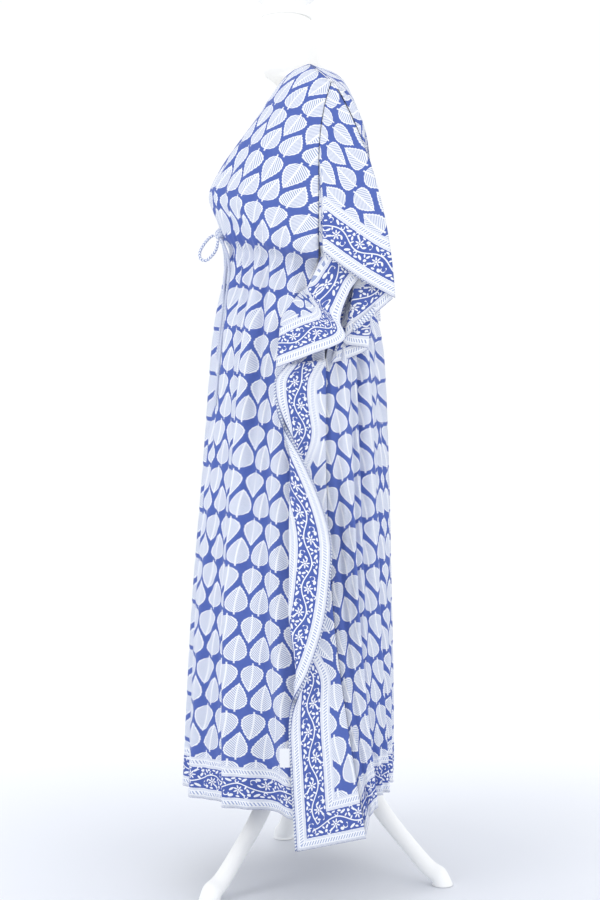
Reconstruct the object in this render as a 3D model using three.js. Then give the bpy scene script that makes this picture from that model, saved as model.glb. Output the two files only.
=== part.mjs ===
// A rectangular printed cotton kaftan with a V neck and a drawstring under the bust,
// on a limbless dress form with a turned cap, a pole and three curved legs.
// Millimetres, +Z up, the floor at z = 0, the wearer's front towards -Y and left side towards +X.
import * as THREE from 'three';

// Driving dimensions
const CLOTH_WALL = 1.6;          // thickness of every cloth wall
const GATHERS_PER_HALF = 7;      // gathers of the drawstring between centre and side
const FOLDS_PER_HALF = 3.5;      // hanging folds of the skirt between centre and side
const COLUMNS_PER_HALF = 28;     // columns of a panel between centre and side
const FOLD_PHASE = 1;             // angle by which the hanging folds start off the centre line
const SECTION_POWER = 0.85;      // below 1 makes a section squarer than an ellipse
const STRIP_COLUMNS = 6;         // columns across a wing or flap
const LAYER_OFFSET = 3.5;        // half the distance between two cloth layers that lie together
const TAPE_WALL = 1;             // thickness of the tape along a panel's edge
const TAPE_OFFSET = 0.9;         // from the middle of two layers to the middle of a tape between them
const TAPE_GAP = 1.9;            // from a single layer's middle to its tape's middle
const TAPE_OVERHANG = 0.06;      // how far it shows past the edge, as a share of that column
const CORD_RADIUS = 2.5;
const SEAM_ALLOWANCE = 5.8;      // from the side seam out to the middle of a flap's two layers
const POLE_RADIUS = 14;
const LEG_ANGLES = [17, 137, 257];

// Tables. v is the distance down the cloth from the shoulder fold, in metres.
// fall says how late along the row the height changes from the centre's to the side's.
const FRONT_ROWS = [
  { v: 0.00, cx: 78, cy: -8, cz: 1392, sx: 160, sy: 30, sz: 1345, fall: 1.3, gather: 0, fold: 0 },
  { v: 0.025, cx: 68.8, cy: -38, cz: 1380.8, sx: 165.5, sy: 23.5, sz: 1322, fall: 1.3, gather: 0, fold: 0 },
  { v: 0.05, cx: 64, cy: -62, cz: 1354, sx: 170, sy: 18, sz: 1300, fall: 1.3, gather: 0, fold: 0 },
  { v: 0.10, cx: 50, cy: -92, cz: 1312, sx: 178, sy: 11, sz: 1252, fall: 1.3, gather: 0, fold: 1 },
  { v: 0.15, cx: 31, cy: -123, cz: 1274, sx: 183, sy: 9, sz: 1205, fall: 1.3, gather: 1, fold: 2 },
  { v: 0.20, cx: 0, cy: -160, cz: 1226, sx: 186, sy: 9, sz: 1152, fall: 1.3, gather: 2, fold: 2 },
  { v: 0.25, cx: 0, cy: -176, cz: 1182, sx: 187, sy: 9, sz: 1108, fall: 1.3, gather: 3, fold: 2 },
  { v: 0.29, cx: 0, cy: -160, cz: 1142, sx: 186, sy: 9, sz: 1074, fall: 1.3, gather: 4, fold: 1 },
  { v: 0.315, cx: 0, cy: -149, cz: 1114, sx: 180, sy: 9, sz: 1056, fall: 1.2, gather: 4, fold: 0 },
  { v: 0.33, cx: 0, cy: -138, cz: 1092, sx: 150, sy: 9, sz: 1049, fall: 1.2, gather: 3, fold: 0 },
  { v: 0.35, cx: 0, cy: -139, cz: 1070, sx: 151, sy: 11, sz: 1030, fall: 1.3, gather: 5, fold: 0 },
  { v: 0.40, cx: 0, cy: -147, cz: 1022, sx: 159, sy: 15, sz: 985, fall: 1.5, gather: 6, fold: 2 },
  { v: 0.50, cx: 0, cy: -156, cz: 930, sx: 170, sy: 20, sz: 888, fall: 2, gather: 5, fold: 5 },
  { v: 0.72, cx: 0, cy: -172, cz: 712, sx: 186, sy: 21, sz: 678, fall: 3, gather: 2.5, fold: 9 },
  { v: 0.94, cx: 0, cy: -188, cz: 492, sx: 196, sy: 33, sz: 464, fall: 4, gather: 1.5, fold: 11 },
  { v: 1.12, cx: 0, cy: -197, cz: 312, sx: 199, sy: 56, sz: 286, fall: 5, gather: 1, fold: 12 },
  { v: 1.28, cx: 0, cy: -204, cz: 154, sx: 190, sy: 84, sz: 114, fall: 6, gather: 1, fold: 13 },
];
const BACK_ROWS = [
  { v: 0.00, cx: 78, cy: -5.4, cz: 1392, sx: 160, sy: 32.8, sz: 1345, fall: 1.3, gather: 0, fold: 0 },
  { v: 0.04, cx: 48, cy: 38, cz: 1384, sx: 164, sy: 62, sz: 1312, fall: 1.3, gather: 0, fold: 0 },
  { v: 0.08, cx: 0, cy: 58, cz: 1370, sx: 166, sy: 82, sz: 1275, fall: 1.3, gather: 0, fold: 0 },
  { v: 0.14, cx: 0, cy: 74, cz: 1312, sx: 166, sy: 92, sz: 1215, fall: 1.3, gather: 0, fold: 1 },
  { v: 0.21, cx: 0, cy: 84, cz: 1240, sx: 164, sy: 92, sz: 1148, fall: 1.3, gather: 1, fold: 2 },
  { v: 0.28, cx: 0, cy: 88, cz: 1165, sx: 158, sy: 84, sz: 1088, fall: 1.3, gather: 3, fold: 1 },
  { v: 0.315, cx: 0, cy: 82, cz: 1098, sx: 150, sy: 76, sz: 1060, fall: 1.2, gather: 4, fold: 0 },
  { v: 0.33, cx: 0, cy: 70, cz: 1068, sx: 138, sy: 58, sz: 1047, fall: 1.2, gather: 3, fold: 0 },
  { v: 0.35, cx: 0, cy: 74, cz: 1046, sx: 141, sy: 55, sz: 1028, fall: 1.3, gather: 5, fold: 0 },
  { v: 0.40, cx: 0, cy: 90, cz: 1000, sx: 154, sy: 45, sz: 980, fall: 1.5, gather: 6, fold: 2 },
  { v: 0.50, cx: 0, cy: 103, cz: 914, sx: 170, sy: 21.2, sz: 888, fall: 2, gather: 5, fold: 5 },
  { v: 0.72, cx: 0, cy: 112, cz: 706, sx: 186, sy: 22.2, sz: 678, fall: 3, gather: 3, fold: 8 },
  { v: 0.94, cx: 0, cy: 115, cz: 494, sx: 196, sy: 34.2, sz: 464, fall: 4, gather: 2, fold: 9 },
  { v: 1.12, cx: 0, cy: 117, cz: 326, sx: 199, sy: 57.2, sz: 286, fall: 5, gather: 2, fold: 9 },
  { v: 1.28, cx: 0, cy: 118, cz: 180, sx: 190, sy: 85.2, sz: 114, fall: 6, gather: 2, fold: 9 },
];
// A wing runs from its root r by the bodice to its free edge e, and bows outwards between them.
const WING_FRONT_ROWS = [
  { v: 0.00, rx: 162.1, ry: 30.9, rz: 1343.4, ex: 208, ey: 132, ez: 984, bx: 8, by: 20, bz: 12 },
  { v: 0.05, rx: 168, ry: 19, rz: 1298, ex: 207, ey: 92, ez: 1006, bx: 9, by: 14, bz: 6 },
  { v: 0.10, rx: 173, ry: 9, rz: 1252, ex: 205, ey: 50, ez: 1034, bx: 9, by: 8, bz: 0 },
  { v: 0.16, rx: 178, ry: 8, rz: 1196, ex: 200, ey: 16, ez: 1062, bx: 0, by: 2, bz: 0 },
  { v: 0.21, rx: 180, ry: 8, rz: 1144, ex: 197, ey: 50, ez: 1049, bx: 0, by: 0, bz: 0 },
  { v: 0.27, rx: 179, ry: 9, rz: 1092, ex: 193, ey: 84, ez: 1034, bx: 0, by: 0, bz: 0 },
  { v: 0.31, rx: 170, ry: 13, rz: 1060, ex: 194, ey: 60, ez: 998, bx: 0, by: 0, bz: 0 },
  { v: 0.37, rx: 163, ry: -6, rz: 1012, ex: 199, ey: 44, ez: 950, bx: 4, by: 0, bz: 0 },
  { v: 0.415, rx: 165, ry: -21, rz: 998, ex: 204, ey: 50, ez: 917, bx: 6, by: 0, bz: 0 },
  { v: 0.46, rx: 163, ry: -37, rz: 978, ex: 209, ey: -4, ez: 893, bx: 7, by: 0, bz: 0 },
  { v: 0.498, rx: 162, ry: -52, rz: 955, ex: 212, ey: -60, ez: 872, bx: 8, by: 0, bz: 0 },
];
const WING_BACK_ROWS = [
  { v: 0.00, rx: 163, ry: 36.2, rz: 1341, ex: 200.5, ey: 128, ez: 984, bx: 8, by: 20, bz: 12 },
  { v: 0.05, rx: 168, ry: 70, rz: 1302, ex: 188, ey: 90, ez: 952, bx: 4, by: 16, bz: 10 },
  { v: 0.11, rx: 169, ry: 89, rz: 1245, ex: 182, ey: 49, ez: 916, bx: 2, by: 8, bz: 0 },
  { v: 0.19, rx: 168, ry: 94, rz: 1168, ex: 172, ey: 90, ez: 905, bx: 0, by: 4, bz: 0 },
  { v: 0.29, rx: 160, ry: 84, rz: 1080, ex: 177, ey: 34, ez: 882, bx: 0, by: 0, bz: 0 },
  { v: 0.40, rx: 160, ry: 44, rz: 972, ex: 181, ey: 38, ez: 892, bx: 0, by: 0, bz: 0 },
];
// A flap reaches from the side seam to its edge. Curl turns its outer half back on itself.
const FLAP_ROWS = [
  { v: 0.50, reach: -62, curl: 0, spread: 20, drop: -10 },
  { v: 0.54, reach: -81, curl: 10, spread: 24, drop: 0 },
  { v: 0.60, reach: -72, curl: 55, spread: 34, drop: 0 },
  { v: 0.66, reach: -38, curl: 130, spread: 42, drop: -10 },
  { v: 0.72, reach: -10, curl: 200, spread: 46, drop: -20 },
  { v: 0.78, reach: 4, curl: 240, spread: 48, drop: -25 },
  { v: 0.85, reach: -2, curl: 240, spread: 48, drop: -25 },
  { v: 0.92, reach: -17, curl: 230, spread: 48, drop: -24 },
  { v: 0.99, reach: -45, curl: 150, spread: 42, drop: -23 },
  { v: 1.06, reach: -82, curl: 50, spread: 34, drop: -22 },
  { v: 1.16, reach: -96, curl: 0, spread: 38, drop: -22 },
  { v: 1.28, reach: -111, curl: 0, spread: 48, drop: -8 },
];
// Sections of the dress form: how far the middle leans, half width, depth to the front and back.
const FORM_RINGS = [
  { z: 778, lean: 0, side: 120, front: 62, back: 70 },
  { z: 792, lean: 0, side: 148, front: 84, back: 88 },
  { z: 860, lean: 0, side: 158, front: 100, back: 90 },
  { z: 940, lean: 0, side: 140, front: 98, back: 68 },
  { z: 1010, lean: 0, side: 118, front: 96, back: 50 },
  { z: 1080, lean: 0, side: 125, front: 116, back: 48 },
  { z: 1140, lean: 0, side: 134, front: 142, back: 58 },
  { z: 1185, lean: 0, side: 138, front: 168.6, back: 64 },
  { z: 1230, lean: 0, side: 140, front: 146, back: 66 },
  { z: 1280, lean: 0, side: 148, front: 112, back: 64 },
  { z: 1320, lean: 0, side: 152, front: 80, back: 60 },
  { z: 1350, lean: 0, side: 138, front: 58, back: 53 },
  { z: 1372, lean: -2, side: 98, front: 47, back: 44 },
  { z: 1386, lean: -22, side: 62, front: 50, back: 48 },
  { z: 1402, lean: -32, side: 56, front: 54, back: 50 },
  { z: 1450, lean: -40, side: 52, front: 53, back: 50 },
  { z: 1484, lean: -46, side: 53, front: 54, back: 50 },
  { z: 1492, lean: -46, side: 46, front: 46, back: 42 },
];
const FORM_RING_SIDES = 20;
const CAP_PROFILE = [[0, 1492.3], [42, 1492.3], [44, 1497], [36, 1504], [33, 1514], [40, 1523],
  [50, 1530], [53, 1542], [50, 1556], [38, 1570], [18, 1579], [0, 1581]];
const HUB_PROFILE = [[14.3, 196], [30, 196], [36, 204], [36, 262], [30, 270], [14.3, 270]];
// A leg's centre line as distance from the pole and height, with its width and depth there.
const LEG_ROWS = [
  { out: 36.4, z: 236, wide: 34, deep: 40 },
  { out: 60, z: 212, wide: 32, deep: 34 },
  { out: 92, z: 168, wide: 30, deep: 32 },
  { out: 132, z: 110, wide: 28, deep: 29 },
  { out: 174, z: 62, wide: 28, deep: 27 },
  { out: 206, z: 28, wide: 32, deep: 28 },
  { out: 225, z: 15, wide: 38, deep: 30 },
  { out: 232, z: 0, wide: 38, deep: 36 },
];
const LEG_SIDES = 12;

// Colours and finishes
const finish = (colour, roughness) => new THREE.MeshStandardMaterial({ color: colour, roughness, metalness: 0 });
const printedCotton = finish(0x8f9ed4, 0.85);
const hatchedCotton = finish(0xdfe4ec, 0.85);
const whiteCover = finish(0xf2f2f0, 0.6);
const whitePaint = finish(0xf4f4f2, 0.45);

// Reads every column of a table at one value of its key, on a smooth curve through the rows.
function readTable(rows, key, at) {
  let i = 0;
  while (i < rows.length - 2 && at > rows[i + 1][key]) i += 1;
  const before = rows[Math.max(i - 1, 0)];
  const a = rows[i];
  const b = rows[i + 1];
  const after = rows[Math.min(i + 2, rows.length - 1)];
  const span = b[key] - a[key];
  const t = THREE.MathUtils.clamp((at - a[key]) / span, 0, 1);
  const values = {};
  for (const name of Object.keys(a)) {
    const slopeA = (b[name] - before[name]) / (b[key] - before[key]) * span;
    const slopeB = (after[name] - a[name]) / (after[key] - a[key]) * span;
    const t2 = t * t;
    const t3 = t2 * t;
    values[name] = (2 * t3 - 3 * t2 + 1) * a[name] + (t3 - 2 * t2 + t) * slopeA
      + (3 * t2 - 2 * t3) * b[name] + (t3 - t2) * slopeB;
  }
  return values;
}

// One row of a panel is a quarter of a rounded section from the centre line to the side,
// with gathers and hanging folds that stand out from it and fade towards the side seam.
function panelPoint(rows, v, u, facing) {
  const row = readTable(rows, 'v', v);
  const angle = u * Math.PI / 2;
  const across = Math.sin(angle) ** SECTION_POWER;
  const along = Math.cos(angle) ** SECTION_POWER;
  const fade = 1 - u ** 8;
  const wave = fade * (row.gather * Math.cos(2 * Math.PI * GATHERS_PER_HALF * u)
    + row.fold * Math.cos(2 * Math.PI * FOLDS_PER_HALF * u + FOLD_PHASE));
  return new THREE.Vector3(
    row.cx + (row.sx - row.cx) * across + wave * Math.sin(angle) * Math.min(u * COLUMNS_PER_HALF, 1),
    row.sy + (row.cy - row.sy) * along + facing * wave * Math.cos(angle),
    row.cz + (row.sz - row.cz) * u ** row.fall,
  );
}

function wingPoint(rows, v, s) {
  const row = readTable(rows, 'v', v);
  const bow = 4 * s * (1 - s);
  return new THREE.Vector3(
    row.rx + (row.ex - row.rx) * s + row.bx * bow,
    row.ry + (row.ey - row.ry) * s + row.by * bow,
    row.rz + (row.ez - row.rz) * s + row.bz * bow,
  );
}

// A flap's section is a parabola: out from the seam, and back on itself where the curl is large.
function flapPoint(v, s) {
  const seam = readTable(FRONT_ROWS, 'v', v);
  const row = readTable(FLAP_ROWS, 'v', v);
  return new THREE.Vector3(
    seam.sx + SEAM_ALLOWANCE + row.spread * s,
    seam.sy + (row.reach - row.curl) * s + row.curl * s * s,
    seam.sz + row.drop * s,
  );
}

// A grid of points, point(i, j), as a list of points and a list of four-sided faces.
function grid(rowCount, columnCount, point, flip) {
  const points = [];
  const faces = [];
  for (let i = 0; i < rowCount; i += 1) {
    for (let j = 0; j < columnCount; j += 1) points.push(point(i, j));
  }
  for (let i = 0; i < rowCount - 1; i += 1) {
    for (let j = 0; j < columnCount - 1; j += 1) {
      const k = i * columnCount + j;
      const face = [k, k + 1, k + columnCount + 1, k + columnCount];
      faces.push(flip ? face.reverse() : face);
    }
  }
  return { points, faces };
}

function mirrored(sheet) {
  return {
    points: sheet.points.map((p) => new THREE.Vector3(-p.x, p.y, p.z)),
    normals: sheet.normals?.map((n) => new THREE.Vector3(-n.x, n.y, n.z)),
    faces: sheet.faces.map((face) => [...face].reverse()),
  };
}

// Joins sheets, and makes one point of points that fall together, as along the centre line.
function joined(sheets) {
  const points = [];
  const faces = [];
  const known = new Map();
  for (const sheet of sheets) {
    const places = sheet.points.map((p) => {
      const name = [p.x, p.y, p.z].map((n) => Math.round(n * 1000) + 0).join(' ');
      if (!known.has(name)) {
        known.set(name, points.length);
        points.push(p);
      }
      return known.get(name);
    });
    for (const face of sheet.faces) faces.push(face.map((k) => places[k]));
  }
  return { points, faces };
}

function vertexNormals(sheet) {
  const normals = sheet.points.map(() => new THREE.Vector3());
  for (const [a, b, c, d] of sheet.faces) {
    const first = sheet.points[c].clone().sub(sheet.points[a]);
    const second = sheet.points[d].clone().sub(sheet.points[b]);
    const normal = first.cross(second);
    for (const k of [a, b, c, d]) normals[k].add(normal);
  }
  return normals.map((n) => n.normalize());
}

function geometryOf(points, triangles) {
  const geometry = new THREE.BufferGeometry();
  const numbers = points.flatMap((p) => [p.x, p.y, p.z]);
  geometry.setAttribute('position', new THREE.Float32BufferAttribute(numbers, 3));
  geometry.setIndex(triangles);
  geometry.computeVertexNormals();
  return geometry;
}

// A cloth wall: the sheet moved along its normals by the offset and out and in from there by
// half the thickness, and closed along its open edges.
function wall(sheet, thickness, offset = 0) {
  const normals = sheet.normals ?? vertexNormals(sheet);
  const moved = (distance) => sheet.points.map((p, k) => p.clone().addScaledVector(normals[k], distance));
  const outer = moved(offset + thickness / 2);
  const inner = moved(offset - thickness / 2);
  const count = outer.length;
  const triangles = [];
  const edges = new Map();
  for (const [a, b, c, d] of sheet.faces) {
    triangles.push(a, b, c, a, c, d);
    triangles.push(count + a, count + c, count + b, count + a, count + d, count + c);
    for (const [p, q] of [[a, b], [b, c], [c, d], [d, a]]) {
      const back = `${q} ${p}`;
      if (edges.has(back)) edges.delete(back);
      else edges.set(`${p} ${q}`, [p, q]);
    }
  }
  for (const [p, q] of edges.values()) {
    triangles.push(q, p, count + p, q, count + p, count + q);
  }
  return geometryOf([...outer, ...inner], triangles);
}

// A closed skin over rings of equal point counts, with a flat fan at each end.
function loft(rings) {
  const sides = rings[0].length;
  const points = rings.flat();
  const triangles = [];
  for (let i = 0; i < rings.length - 1; i += 1) {
    for (let j = 0; j < sides; j += 1) {
      const a = i * sides + j;
      const b = i * sides + (j + 1) % sides;
      triangles.push(a, b, b + sides, a, b + sides, a + sides);
    }
  }
  const last = (rings.length - 1) * sides;
  for (let j = 1; j < sides - 1; j += 1) {
    triangles.push(0, j + 1, j);
    triangles.push(last, last + j, last + j + 1);
  }
  return geometryOf(points, triangles);
}

const group = new THREE.Group();
function add(name, geometry, material) {
  const mesh = new THREE.Mesh(geometry, material);
  mesh.name = name;
  group.add(mesh);
  return mesh;
}

// Front and back: each half is a grid, and the halves join below the neckline.
function panel(rows, facing) {
  const half = grid(rows.length, COLUMNS_PER_HALF + 1,
    (i, j) => panelPoint(rows, rows[i].v, j / COLUMNS_PER_HALF, facing), facing < 0);
  return joined([half, mirrored(half)]);
}
add('front', wall(panel(FRONT_ROWS, -1), CLOTH_WALL), printedCotton);
add('back', wall(panel(BACK_ROWS, 1), CLOTH_WALL), printedCotton);

// Values of v for the rows of a strip: those of its table, and one between each two.
function rowPlaces(rows) {
  const places = [];
  rows.forEach((row, i) => {
    places.push(row.v);
    if (i < rows.length - 1) places.push((row.v + rows[i + 1].v) / 2);
  });
  return places;
}
function strip(rows, point) {
  const places = rowPlaces(rows);
  return grid(places.length, STRIP_COLUMNS + 1, (i, j) => point(places[i], j / STRIP_COLUMNS), true);
}

const wingFront = strip(WING_FRONT_ROWS, (v, s) => wingPoint(WING_FRONT_ROWS, v, s));
const wingBack = strip(WING_BACK_ROWS, (v, s) => wingPoint(WING_BACK_ROWS, v, s));
const flap = strip(FLAP_ROWS, flapPoint);

// The tape is a narrow strip on the wrong side of a free edge, made from the points of the
// cloth's last column, and it shows a little past the edge.
function tapeOf(sheet, firstRow, lastRow) {
  const clothNormals = vertexNormals(sheet);
  const normals = [];
  const place = (i, j) => {
    const edge = (firstRow + i + 1) * (STRIP_COLUMNS + 1) - 1;
    const along = j === 0 ? 1 : -TAPE_OVERHANG;
    normals.push(clothNormals[edge].clone().lerp(clothNormals[edge - 1], Math.max(along, 0)));
    return sheet.points[edge].clone().lerp(sheet.points[edge - 1], along);
  };
  return { ...grid(lastRow - firstRow + 1, 2, place, true), normals };
}

// Wings are single layers. A flap has the front's layer towards the body and the back's outside.
// A wing's tape runs over the rows where it shows, and a flap's from end to end.
const lastFlapRow = rowPlaces(FLAP_ROWS).length - 1;
const strips = [
  { name: 'wing_front', sheet: wingFront, offset: 0, tapeOffset: -TAPE_GAP, rows: [1, 5] },
  { name: 'wing_back', sheet: wingBack, offset: 0, tapeOffset: TAPE_GAP, rows: [1, 3] },
  { name: 'flap_front', sheet: flap, offset: LAYER_OFFSET, tapeOffset: TAPE_OFFSET, rows: [0, lastFlapRow] },
  { name: 'flap_back', sheet: flap, offset: -LAYER_OFFSET, tapeOffset: -TAPE_OFFSET, rows: [0, lastFlapRow] },
];
for (const { name, sheet, offset, tapeOffset, rows } of strips) {
  const tape = tapeOf(sheet, ...rows);
  add(`${name}_left`, wall(sheet, CLOTH_WALL, offset), printedCotton);
  add(`${name}_right`, wall(mirrored(sheet), CLOTH_WALL, offset), printedCotton);
  add(`tape_${name}_left`, wall(tape, TAPE_WALL, tapeOffset), hatchedCotton);
  add(`tape_${name}_right`, wall(mirrored(tape), TAPE_WALL, tapeOffset), hatchedCotton);
}

// The label is a small bare tab that hangs from the left flap's edge.
const LABEL = { width: 16, height: 30, thickness: 1, v: 1.13 };
const labelEdge = flapPoint(LABEL.v, 1);
const label = add('label', new THREE.BoxGeometry(LABEL.thickness, LABEL.width, LABEL.height), whiteCover);
label.position.set(labelEdge.x + 1, labelEdge.y - LABEL.width / 2 - 1.9, labelEdge.z);

// The drawstring: a knot at the casing, two loops and two free tails
const KNOT = { x: 40, y: -159.1, z: 1111.5, radius: 11 };
const knot = new THREE.SphereGeometry(1, 10, 8).scale(KNOT.radius, KNOT.radius * 0.8, KNOT.radius);
add('drawstring_knot', knot.translate(KNOT.x, KNOT.y, KNOT.z), hatchedCotton);
const CORD_ROUTES = {
  drawstring_loop_front: [[42, -169, 1110], [43, -177, 1105], [45, -186, 1094], [47, -193, 1080],
    [49, -192, 1069], [51, -183, 1065], [52, -173, 1072], [51, -165, 1084], [48, -162, 1099]],
  drawstring_loop_hanging: [[30, -156, 1105], [22, -154, 1097], [14, -150, 1080], [9, -151, 1056],
    [10, -153, 1038], [18, -152, 1028], [27, -150, 1036], [31, -150, 1056], [33, -151, 1080],
    [35, -155, 1100]],
  drawstring_tail_a: [[40, -157, 1100.2], [41, -150, 1086], [42, -148, 1066], [46, -150, 1040],
    [51, -152, 1010], [55, -153, 980], [53, -157, 950], [51, -160, 922], [51, -162, 895]],
  drawstring_tail_b: [[47, -157, 1102.6], [52, -150, 1087], [58, -144, 1068], [63, -142, 1040],
    [66, -146, 1005], [67, -150, 965], [69, -155, 925], [71, -159, 885], [70, -162, 850], [69, -165, 815]],
};
const CORD_STEP = 12.5;
for (const [name, route] of Object.entries(CORD_ROUTES)) {
  const path = new THREE.CatmullRomCurve3(route.map((p) => new THREE.Vector3(...p)));
  const section = new THREE.Shape(Array.from({ length: 8 }, (_, k) => {
    const angle = 2 * Math.PI * k / 8;
    return new THREE.Vector2(CORD_RADIUS * Math.cos(angle), CORD_RADIUS * Math.sin(angle));
  }));
  const steps = Math.max(12, Math.round(path.getLength() / CORD_STEP));
  add(name, new THREE.ExtrudeGeometry(section, { steps, extrudePath: path }), hatchedCotton);
}

// The dress form with its neck, its turned cap, the pole, the hub and the legs
function formRing({ z, lean, side, front, back }) {
  return Array.from({ length: FORM_RING_SIDES }, (_, k) => {
    const angle = 2 * Math.PI * k / FORM_RING_SIDES;
    const depth = Math.sin(angle) < 0 ? front : back;
    return new THREE.Vector3(side * Math.cos(angle), lean + depth * Math.sin(angle), z);
  });
}
add('form_torso', loft(FORM_RINGS.map(formRing)), whiteCover);

function turned(profile, segments) {
  const geometry = new THREE.LatheGeometry(profile.map(([r, z]) => new THREE.Vector2(r, z)), segments);
  return geometry.rotateX(Math.PI / 2);
}
const CAP_LEAN = FORM_RINGS[FORM_RINGS.length - 1].lean;
add('form_cap', turned(CAP_PROFILE, 24).translate(0, CAP_LEAN, 0), whitePaint);
const POLE_BOTTOM = 170;
const POLE_TOP = FORM_RINGS[0].z - 0.3;
const pole = new THREE.CylinderGeometry(POLE_RADIUS, POLE_RADIUS, POLE_TOP - POLE_BOTTOM, 20);
add('pole', pole.rotateX(Math.PI / 2).translate(0, 0, (POLE_TOP + POLE_BOTTOM) / 2), whitePaint);
add('hub', turned([...HUB_PROFILE, HUB_PROFILE[0]], 24), whitePaint);

// A leg's section turns with its centre line and ends flat on the floor.
function legRing(row, i) {
  const before = LEG_ROWS[Math.max(i - 1, 0)];
  const after = LEG_ROWS[Math.min(i + 1, LEG_ROWS.length - 1)];
  let tilt = Math.atan2(after.out - before.out, before.z - after.z);
  if (i === 0) tilt = Math.PI / 2;
  if (i === LEG_ROWS.length - 1) tilt = 0;
  return Array.from({ length: LEG_SIDES }, (_, k) => {
    const angle = 2 * Math.PI * k / LEG_SIDES;
    const across = row.wide / 2 * Math.cos(angle);
    const deep = row.deep / 2 * Math.sin(angle);
    return new THREE.Vector3(-across, row.out + deep * Math.cos(tilt), row.z + deep * Math.sin(tilt));
  });
}
LEG_ANGLES.forEach((degrees, i) => {
  const leg = add(`leg_${i + 1}`, loft(LEG_ROWS.map(legRing)), whitePaint);
  leg.rotation.z = -THREE.MathUtils.degToRad(degrees);
});

// The origin is under the middle of the object, without its drawstring.
const bounds = new THREE.Box3();
group.updateMatrixWorld(true);
for (const mesh of group.children) {
  if (!mesh.name.startsWith('drawstring')) bounds.expandByObject(mesh, true);
}
const middle = bounds.getCenter(new THREE.Vector3());
group.position.set(-middle.x, -middle.y, -bounds.min.z);
group.updateMatrixWorld(true);

export default group;
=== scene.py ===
"""A printed cotton kaftan with a V neck and a drawstring under the bust, on a dress form.

The file follows the making of the object: the camera and lights, the drawstring, the dress form,
then the two panels with their wings, flaps and edge tapes. Every cloth surface is a function of
v, the distance down the cloth from the shoulder fold in metres, and of u or s, from 0 to 1 across.
Its UV map is its place on the flat panel in metres, so the print follows the cloth.
"""
import math

import bpy
import numpy as np
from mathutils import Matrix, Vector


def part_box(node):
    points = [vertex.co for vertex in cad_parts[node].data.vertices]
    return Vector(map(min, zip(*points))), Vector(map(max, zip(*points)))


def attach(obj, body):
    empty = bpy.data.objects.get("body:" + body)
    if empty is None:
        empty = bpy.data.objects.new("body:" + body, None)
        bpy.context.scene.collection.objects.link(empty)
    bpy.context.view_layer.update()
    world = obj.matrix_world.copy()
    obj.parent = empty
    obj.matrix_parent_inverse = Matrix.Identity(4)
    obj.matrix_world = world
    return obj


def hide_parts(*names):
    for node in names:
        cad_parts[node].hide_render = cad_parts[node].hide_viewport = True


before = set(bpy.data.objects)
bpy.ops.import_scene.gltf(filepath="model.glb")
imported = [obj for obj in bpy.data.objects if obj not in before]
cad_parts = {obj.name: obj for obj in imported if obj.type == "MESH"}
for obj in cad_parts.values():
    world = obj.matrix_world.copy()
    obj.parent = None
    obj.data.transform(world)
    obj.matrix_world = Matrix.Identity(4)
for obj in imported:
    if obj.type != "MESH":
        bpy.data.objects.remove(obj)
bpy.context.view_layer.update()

# The camera stands level at the wearer's left, 2.5 m from the middle of the object, where a
# 57.1 mm lens takes 1.575 m from the top to the bottom of a 600 by 900 picture.
scene = bpy.context.scene
scene.view_settings.view_transform = "Standard"
CAMERA_PLACE = (2.5, -0.0344, 0.74)
camera_data = bpy.data.cameras.new("camera")
camera_data.lens = 57.1
camera = bpy.data.objects.new("camera", camera_data)
camera.location = CAMERA_PLACE
camera.rotation_euler = (math.pi / 2, 0, math.pi / 2)
scene.collection.objects.link(camera)
scene.camera = camera


def linear(hex_colour):
    """An sRGB hex colour as linear red, green, blue and alpha, by the sRGB curve."""
    srgb = np.array([int(hex_colour[k:k + 2], 16) / 255 for k in (1, 3, 5)])
    low = srgb / 12.92
    high = ((srgb + 0.055) / 1.055) ** 2.4
    return (*np.where(srgb <= 0.04045, low, high), 1.0)


def add_node(tree, kind, *inputs, **settings):
    """Adds a node with its settings, and gives its first output. An input is a socket, a number, a
    colour, None to leave it, or a nested formula (operation, inputs ...), which is a Math node."""
    node = tree.nodes.new(kind)
    for name, value in settings.items():
        setattr(node, name, value)
    for place, value in enumerate(inputs):
        if isinstance(value, tuple) and isinstance(value[0], str):
            value = add_node(tree, "ShaderNodeMath", *value[1:], operation=value[0])
        if isinstance(value, bpy.types.NodeSocket):
            tree.links.new(value, node.inputs[place])
        elif value is not None:
            node.inputs[place].default_value = value
    return node.outputs[0]


def new_material(name, colour, roughness, sheen=0.0):
    """A named material of one Principled shader, with its tree and that shader."""
    material = bpy.data.materials.new(name)
    material.use_nodes = True
    shader = material.node_tree.nodes["Principled BSDF"]
    shader.inputs["Base Color"].default_value = linear(colour)
    shader.inputs["Roughness"].default_value = roughness
    shader.inputs["Sheen Weight"].default_value = sheen
    return material, material.node_tree, shader


# The studio: a seamless pale floor, white all round, and three large soft lights. The floor lies
# 1 mm under the feet.
floor_mesh = bpy.data.meshes.new("floor")
FLOOR_RADIUS = 1.6
FLOOR_HEIGHT = -0.001
RIM_POINTS = 128
turn = np.linspace(0, 2 * np.pi, RIM_POINTS + 1)[:-1]
rim = np.stack([FLOOR_RADIUS * np.cos(turn), FLOOR_RADIUS * np.sin(turn),
                np.full(RIM_POINTS, FLOOR_HEIGHT)], -1)
floor_mesh.from_pydata(rim.tolist(), [], [list(range(RIM_POINTS))])
floor = bpy.data.objects.new("floor", floor_mesh)
scene.collection.objects.link(floor)
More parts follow.
